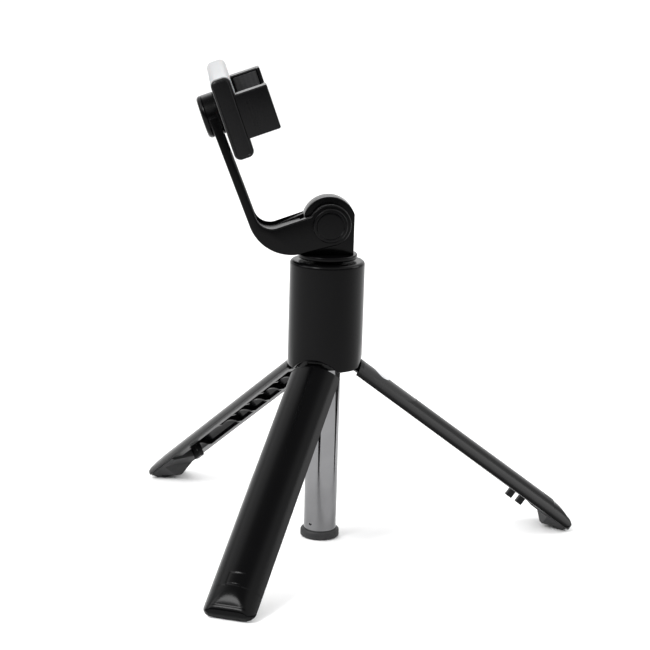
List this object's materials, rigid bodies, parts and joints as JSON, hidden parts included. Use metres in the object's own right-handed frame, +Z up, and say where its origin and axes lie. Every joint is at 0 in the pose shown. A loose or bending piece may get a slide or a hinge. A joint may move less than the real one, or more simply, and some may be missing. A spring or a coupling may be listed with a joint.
{
  "type": "tripod selfie stick",
  "caption": "Telescopic selfie stick standing on folding tripod legs, with a tilting hooked arm, a turning spring clamp for a phone, and a remote control docked in a leg.",
  "frame": {"origin": "middle of the pole end cap's lower face, in the plane that the feet stand on", "axes": "+Z up along the pole; Y is the tilt axis of the arm; the arm hooks out towards -X; the first leg points 7 degrees from +X towards +Y"},
  "size_m": [0.2132, 0.229, 0.2284],
  "materials": {
    "gloss_black": "glossy moulded plastic",
    "satin_black": "satin moulded plastic",
    "pale_plastic": "smooth pale plastic",
    "bush_plastic": "low-friction plastic",
    "rubber_black": "soft rubber",
    "tube_chrome": "bright plated tube",
    "steel": "plain steel",
    "brass": "turned brass",
    "board_green": "circuit board",
    "button_silver": "silvered plastic"
  },
  "bodies": {
    "hub": {"hub_shell": "gloss_black", "leg_carrier": "satin_black", "leg_hinge_pins": "steel", "hub_screws": "steel", "pole_top_bush": "bush_plastic", "outer_tube": "tube_chrome", "pole_end_cap": "rubber_black"},
    "leg_right": {"right_leg_cover": "gloss_black", "right_leg_frame": "satin_black", "right_leg_foot": "rubber_black"},
    "leg_left": {"left_leg_cover": "gloss_black", "left_leg_frame": "satin_black", "left_leg_foot": "rubber_black"},
    "leg_front": {"front_leg_cover": "gloss_black", "front_leg_frame": "satin_black", "front_leg_foot": "rubber_black"},
    "stage_2": {"tube_2": "tube_chrome", "tube_2_bush": "bush_plastic"},
    "stage_3": {"tube_3": "tube_chrome", "tube_3_bush": "bush_plastic"},
    "stage_4": {"tube_4": "tube_chrome", "tube_4_bush": "bush_plastic"},
    "stage_5": {"tube_5": "tube_chrome", "tube_5_bush": "bush_plastic", "tube_5_plug": "steel"},
    "head": {"head_base": "gloss_black", "head_set_screw": "steel"},
    "arm": {"arm": "gloss_black", "tilt_washers": "bush_plastic", "tilt_screw": "steel", "tilt_nut": "steel", "tilt_cap_near": "gloss_black", "tilt_cap_far": "gloss_black", "swivel_cap": "gloss_black"},
    "clamp": {"clamp_body": "pale_plastic", "clamp_insert": "brass", "swivel_screw": "steel", "swivel_washer": "steel", "fixed_jaw": "satin_black", "fixed_jaw_screws": "steel", "fixed_jaw_pad": "rubber_black"},
    "sliding_jaw": {"sliding_jaw": "satin_black", "sliding_jaw_pad": "rubber_black", "guide_rods": "steel", "jaw_springs": "steel"},
    "remote": {"remote_upper_shell": "satin_black", "remote_lower_shell": "satin_black", "remote_board": "board_green", "remote_cell": "steel"},
    "shutter_button": {"remote_button": "button_silver"}
  },
  "joints": [
    {"name": "leg_right_fold", "type": "hinge", "parent": "hub", "child": "leg_right", "pos_m": [0.01141, 0.0014, 0.0904], "axis": [-0.1219, 0.9925, 0], "range_deg": [0, 53.3]},
    {"name": "leg_left_fold", "type": "hinge", "parent": "hub", "child": "leg_left", "pos_m": [-0.00692, 0.00918, 0.0904], "axis": [-0.7986, -0.6018, 0], "range_deg": [0, 53.3]},
    {"name": "leg_front_fold", "type": "hinge", "parent": "hub", "child": "leg_front", "pos_m": [-0.00449, -0.01059, 0.0904], "axis": [0.9205, -0.3907, 0], "range_deg": [0, 53.3]},
    {"name": "tube_2_slide", "type": "slide", "parent": "hub", "child": "stage_2", "axis": [0, 0, 1], "range_m": [0, 0.1]},
    {"name": "tube_3_slide", "type": "slide", "parent": "stage_2", "child": "stage_3", "axis": [0, 0, 1], "range_m": [0, 0.1]},
    {"name": "tube_4_slide", "type": "slide", "parent": "stage_3", "child": "stage_4", "axis": [0, 0, 1], "range_m": [0, 0.1]},
    {"name": "tube_5_slide", "type": "slide", "parent": "stage_4", "child": "stage_5", "axis": [0, 0, 1], "range_m": [0, 0.1]},
    {"name": "head_turn", "type": "hinge", "parent": "stage_5", "child": "head", "pos_m": [0, 0, 0.1384], "axis": [0, 0, 1], "continuous": true},
    {"name": "arm_tilt", "type": "hinge", "parent": "head", "child": "arm", "pos_m": [0, 0, 0.1568], "axis": [0, 1, 0], "range_deg": [0, 186]},
    {"name": "clamp_turn", "type": "hinge", "parent": "arm", "child": "clamp", "pos_m": [-0.02268, 0, 0.2191], "axis": [0.9397, 0, 0.342], "continuous": true},
    {"name": "jaw_slide", "type": "slide", "parent": "clamp", "child": "sliding_jaw", "axis": [0, -1, 0], "range_m": [0, 0.026], "stiffness_N_per_m": 110, "springref_m": -0.02, "deforming": ["jaw_springs"]},
    {"name": "remote_lift", "type": "slide", "parent": "leg_right", "child": "remote", "axis": [0.5904, 0.0725, 0.8039], "range_m": [0, 0.02]},
    {"name": "shutter_press", "type": "slide", "parent": "remote", "child": "shutter_button", "axis": [-0.5904, -0.0725, -0.8039], "range_m": [0, 0.0006], "stiffness_N_per_m": 1200, "springref_m": -0.0005}
  ]
}
